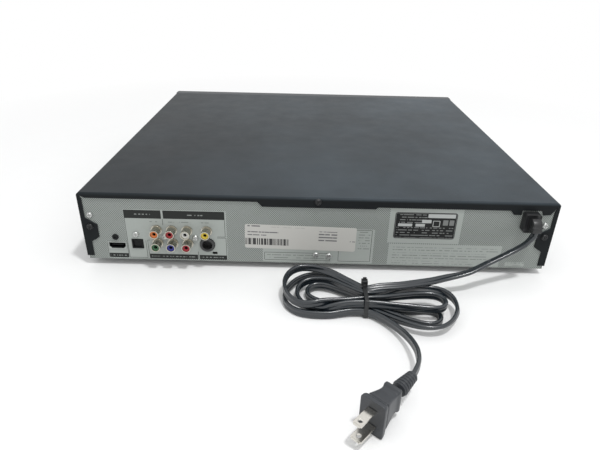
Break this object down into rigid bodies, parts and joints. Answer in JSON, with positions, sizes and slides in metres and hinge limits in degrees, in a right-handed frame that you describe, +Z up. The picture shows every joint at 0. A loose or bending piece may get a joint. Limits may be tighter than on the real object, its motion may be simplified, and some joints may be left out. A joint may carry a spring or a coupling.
{
  "type": "dvd player with tray",
  "caption": "Disc player with a sliding drawer that carries a turntable, a lifting disc drive, rear sockets and a coiled mains cord.",
  "frame": {"origin": "middle of the case's footprint on the surface that the feet stand on", "axes": "+X to the right seen from the front, +Y from the front towards the sockets at the back, +Z up"},
  "size_m": [0.43, 0.6079, 0.0744],
  "materials": {
    "cover_paint": "fine matt powder paint",
    "panel_steel": "plated steel with a fine printed dot pattern",
    "plated_steel": "dull zinc",
    "front_plastic": "satin",
    "smoke_window": "gloss",
    "rubber_black": "matt",
    "black_screw": "black oxide",
    "bright_screw": "zinc",
    "black_plastic": "satin",
    "grey_plastic": "satin",
    "cream_plastic": "satin",
    "motor_can": "satin",
    "board_brown": "resin board",
    "board_green": "resin board",
    "core_tape": "tape over ferrite",
    "capacitor_sleeve": "sleeve",
    "heat_sink_metal": "satin",
    "chip_black": "satin",
    "display_glass": "gloss",
    "ribbon": "satin",
    "nickel": "bright nickel",
    "insert_colours": "moulded in the colour of each socket",
    "cord_black": "satin",
    "brass_blade": "nickel over brass",
    "carousel_plastic": "satin",
    "rod_steel": "bright",
    "lens_glass": "coated",
    "button_silver": "satin silver"
  },
  "bodies": {
    "case": {"top_cover": "cover_paint", "bottom_chassis": "plated_steel", "rear_panel": "panel_steel", "front_panel": "front_plastic", "display_window": "smoke_window", "feet": "rubber_black", "cover_screws": "black_screw", "panel_screws": "bright_screw", "mechanism_frame": "grey_plastic", "drawer_guides": "grey_plastic", "clamp_bridge": "plated_steel", "loading_motor": "motor_can", "loading_belt": "rubber_black", "power_board": "board_brown", "transformer": "core_tape", "capacitors": "capacitor_sleeve", "heat_sink": "heat_sink_metal", "av_board": "board_green", "chips": "chip_black", "front_board": "board_brown", "display_tube": "display_glass", "ribbon_cables": "ribbon", "rca_shells": "nickel", "rca_inserts": "insert_colours", "rca_housing": "black_plastic", "svideo_socket": "black_plastic", "hdmi_socket": "plated_steel", "optical_socket": "black_plastic", "cord_bush": "black_plastic", "cord_tube": "cord_black", "cord_hank": "cord_black", "cord_tie": "black_plastic", "plug_body": "cord_black", "plug_blades": "brass_blade"},
    "drawer": {"drawer_tray": "black_plastic", "drawer_door": "front_plastic", "carousel_motor": "motor_can"},
    "carousel": {"carousel": "carousel_plastic", "hub_cap": "grey_plastic"},
    "carousel_pinion": {"carousel_pinion": "cream_plastic"},
    "drawer_gear": {"drawer_gear": "cream_plastic"},
    "motor_pulley": {"motor_pulley": "cream_plastic"},
    "lift": {"lift_holder": "grey_plastic", "base_unit": "plated_steel", "dampers": "rubber_black", "base_unit_motors": "motor_can", "guide_rods": "rod_steel"},
    "cam_slider": {"cam_slider": "cream_plastic"},
    "spindle": {"spindle_platter": "black_plastic"},
    "sled": {"pickup_sled": "grey_plastic", "pickup_lens": "lens_glass"},
    "lead_screw": {"lead_screw": "rod_steel"},
    "clamp": {"clamp_disc": "black_plastic"},
    "shutter": {"optical_shutter": "grey_plastic"},
    "power_button": {"power_button": "button_silver"},
    "open_button": {"open_button": "button_silver"},
    "disc_button": {"disc_button": "button_silver"},
    "play_button": {"play_button": "button_silver"},
    "pause_button": {"pause_button": "button_silver"},
    "stop_button": {"stop_button": "button_silver"}
  },
  "joints": [
    {"name": "drawer_slide", "type": "slide", "parent": "case", "child": "drawer", "axis": [0, -1, 0], "range_m": [0, 0.22]},
    {"name": "carousel_spin", "type": "hinge", "parent": "drawer", "child": "carousel", "pos_m": [0, -0.03, 0.047], "axis": [0, 0, 1], "continuous": true},
    {"name": "carousel_pinion_spin", "type": "hinge", "parent": "drawer", "child": "carousel_pinion", "pos_m": [0.03613, -0.08896, 0.04], "axis": [0, 0, 1], "continuous": true},
    {"name": "drawer_gear_spin", "type": "hinge", "parent": "case", "child": "drawer_gear", "pos_m": [0.06585, -0.078, 0.03], "axis": [0, 0, 1], "continuous": true},
    {"name": "motor_pulley_spin", "type": "hinge", "parent": "case", "child": "motor_pulley", "pos_m": [0.02, -0.078, 0.026], "axis": [0, 0, 1], "continuous": true},
    {"name": "lift_slide", "type": "slide", "parent": "case", "child": "lift", "axis": [0, 0, 1], "range_m": [0, 0.013]},
    {"name": "cam_slide", "type": "slide", "parent": "case", "child": "cam_slider", "axis": [0, -1, 0], "range_m": [0, 0.02]},
    {"name": "spindle_spin", "type": "hinge", "parent": "lift", "child": "spindle", "pos_m": [0, 0.075, 0.038], "axis": [0, 0, 1], "continuous": true},
    {"name": "sled_slide", "type": "slide", "parent": "lift", "child": "sled", "axis": [0, 1, 0], "range_m": [0, 0.035]},
    {"name": "lead_screw_spin", "type": "hinge", "parent": "lift", "child": "lead_screw", "pos_m": [-0.038, 0.119, 0.0262], "axis": [0, 1, 0], "continuous": true},
    {"name": "clamp_spin", "type": "hinge", "parent": "case", "child": "clamp", "pos_m": [0, 0.075, 0.06], "axis": [0, 0, 1], "continuous": true},
    {"name": "shutter_hinge", "type": "hinge", "parent": "case", "child": "shutter", "pos_m": [0.1664, 0.1968, 0.0263], "axis": [-1, 0, 0], "range_deg": [0, 80], "stiffness_Nm_per_rad": 0.0004, "springref_deg": -17.19},
    {"name": "power_press", "type": "slide", "parent": "case", "child": "power_button", "axis": [0, 1, 0], "range_m": [0, 0.0005], "stiffness_N_per_m": 1000, "springref_m": -0.001},
    {"name": "open_press", "type": "slide", "parent": "case", "child": "open_button", "axis": [0, 1, 0], "range_m": [0, 0.0005], "stiffness_N_per_m": 1000, "springref_m": -0.001},
    {"name": "disc_press", "type": "slide", "parent": "case", "child": "disc_button", "axis": [0, 1, 0], "range_m": [0, 0.0005], "stiffness_N_per_m": 1000, "springref_m": -0.001},
    {"name": "play_press", "type": "slide", "parent": "case", "child": "play_button", "axis": [0, 1, 0], "range_m": [0, 0.0005], "stiffness_N_per_m": 1000, "springref_m": -0.001},
    {"name": "pause_press", "type": "slide", "parent": "case", "child": "pause_button", "axis": [0, 1, 0], "range_m": [0, 0.0005], "stiffness_N_per_m": 1000, "springref_m": -0.001},
    {"name": "stop_press", "type": "slide", "parent": "case", "child": "stop_button", "axis": [0, 1, 0], "range_m": [0, 0.0005], "stiffness_N_per_m": 1000, "springref_m": -0.001}
  ],
  "couplings": [
    {"joint": "carousel_pinion_spin", "follows": "carousel_spin", "ratio": -6.6667},
    {"joint": "drawer_gear_spin", "follows": "drawer_slide", "rad_per_m": -83.333},
    {"joint": "motor_pulley_spin", "follows": "drawer_slide", "rad_per_m": -293.54},
    {"joint": "cam_slide", "follows": "lift_slide", "ratio": 1.5384},
    {"joint": "lead_screw_spin", "follows": "sled_slide", "rad_per_m": 2094.4}
  ]
}
